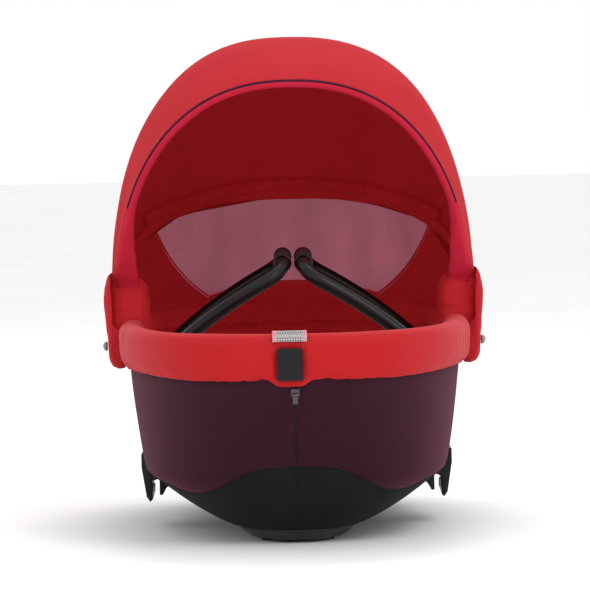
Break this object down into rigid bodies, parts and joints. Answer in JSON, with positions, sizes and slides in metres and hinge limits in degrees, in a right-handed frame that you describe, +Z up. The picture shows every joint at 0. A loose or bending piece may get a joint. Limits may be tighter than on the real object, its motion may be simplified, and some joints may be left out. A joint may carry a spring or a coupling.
{
  "type": "infant carrycot",
  "caption": "Lie-flat infant carrycot with a boat-shaped fabric body, folding hood with mesh window, padded foot apron and two swinging carry handles.",
  "frame": {"origin": "on the floor, under the middle of the bounding box", "axes": "+X is the lying child's left, +Y runs to the head end, +Z is up"},
  "size_m": [0.443, 0.822, 0.5594],
  "materials": {
    "moulded_black": "fine grain",
    "skid_rubber": "matte",
    "stiffener_board": "matte sheet",
    "black_fabric": "tight plain weave",
    "burgundy_fabric": "tight plain weave",
    "rim_metal": "satin",
    "apron_velour": "short velour pile",
    "lining_red": "soft plain weave",
    "hood_fabric": "plain weave",
    "window_mesh": "open mesh",
    "plum_piping": "corded piping",
    "reflective_weave": "reflective check",
    "stud_metal": "satin",
    "gloss_black": "gloss",
    "grip_rubber": "soft touch",
    "latch_steel": "satin",
    "mattress_fabric": "jersey"
  },
  "bodies": {
    "cot": {"base_pan": "moulded_black", "skid_left": "skid_rubber", "skid_right": "skid_rubber", "wall_board_foot": "stiffener_board", "wall_board_head": "stiffener_board", "wall_board_left": "stiffener_board", "wall_board_right": "stiffener_board", "lower_cover_left": "black_fabric", "outer_cover_left": "burgundy_fabric", "lower_cover_right": "black_fabric", "outer_cover_right": "burgundy_fabric", "seam_piping_foot": "burgundy_fabric", "seam_piping_head": "burgundy_fabric", "rim_tube": "rim_metal", "apron": "apron_velour", "head_rim_pad": "lining_red", "reflective_patch": "reflective_weave", "zip_slider": "stud_metal", "mattress_board": "stiffener_board", "mattress": "mattress_fabric", "liner": "lining_red", "hood_hub_left": "moulded_black", "hood_hub_right": "moulded_black", "hood_rear_panel": "hood_fabric", "hood_window": "window_mesh", "rear_bow": "moulded_black", "window_roll": "lining_red", "hood_skirt_left": "hood_fabric", "skirt_stud_front_left": "stud_metal", "skirt_stud_rear_left": "stud_metal", "hood_skirt_right": "hood_fabric", "skirt_stud_front_right": "stud_metal", "skirt_stud_rear_right": "stud_metal", "handle_clevis_foot_left": "moulded_black", "handle_clevis_head_left": "moulded_black", "handle_clevis_foot_right": "moulded_black", "handle_clevis_head_right": "moulded_black", "connector_left": "moulded_black", "connector_right": "moulded_black"},
    "hood_mid": {"hood_mid_panel": "hood_fabric", "mid_bow": "moulded_black"},
    "hood_front": {"hood_front_panel": "hood_fabric", "front_bow": "moulded_black", "hood_facing": "lining_red", "hood_piping": "plum_piping"},
    "handle_left": {"handle_tube_left": "gloss_black", "handle_grip_left": "grip_rubber", "grip_cap_foot_left": "gloss_black", "grip_cap_head_left": "gloss_black"},
    "handle_right": {"handle_tube_right": "gloss_black", "handle_grip_right": "grip_rubber", "grip_cap_foot_right": "gloss_black", "grip_cap_head_right": "gloss_black"},
    "connector_latch_left": {"connector_latch_left": "latch_steel"},
    "connector_latch_right": {"connector_latch_right": "latch_steel"},
    "apron_latch": {"latch_plate": "gloss_black"},
    "zip_pull": {"zip_pull": "stud_metal"}
  },
  "joints": [
    {"name": "hood_mid_fold", "type": "hinge", "parent": "cot", "child": "hood_mid", "pos_m": [0, 0.073, 0.24], "axis": [-1, 0, 0], "range_deg": [0, 34]},
    {"name": "hood_front_fold", "type": "hinge", "parent": "hood_mid", "child": "hood_front", "pos_m": [0, 0.073, 0.24], "axis": [-1, 0, 0], "range_deg": [0, 34]},
    {"name": "handle_left_swing", "type": "hinge", "parent": "cot", "child": "handle_left", "pos_m": [0.14774, 0, 0.198], "axis": [0, 1, 0], "range_deg": [0, 40]},
    {"name": "handle_right_swing", "type": "hinge", "parent": "cot", "child": "handle_right", "pos_m": [-0.14774, 0, 0.198], "axis": [0, -1, 0], "range_deg": [0, 40]},
    {"name": "connector_latch_left_slide", "type": "slide", "parent": "cot", "child": "connector_latch_left", "axis": [1, 0, 0], "range_m": [0, 0.002], "stiffness_N_per_m": 400},
    {"name": "connector_latch_right_slide", "type": "slide", "parent": "cot", "child": "connector_latch_right", "axis": [-1, 0, 0], "range_m": [0, 0.002], "stiffness_N_per_m": 400},
    {"name": "apron_latch_press", "type": "slide", "parent": "cot", "child": "apron_latch", "axis": [0, 1, 0], "range_m": [0, 0.002], "stiffness_N_per_m": 400},
    {"name": "zip_pull_swing", "type": "hinge", "parent": "cot", "child": "zip_pull", "pos_m": [0, -0.404, 0.1728], "axis": [-1, 0, 0], "range_deg": [0, 85]}
  ],
  "couplings": [
    {"joint": "hood_front_fold", "follows": "hood_mid_fold", "ratio": 1}
  ]
}
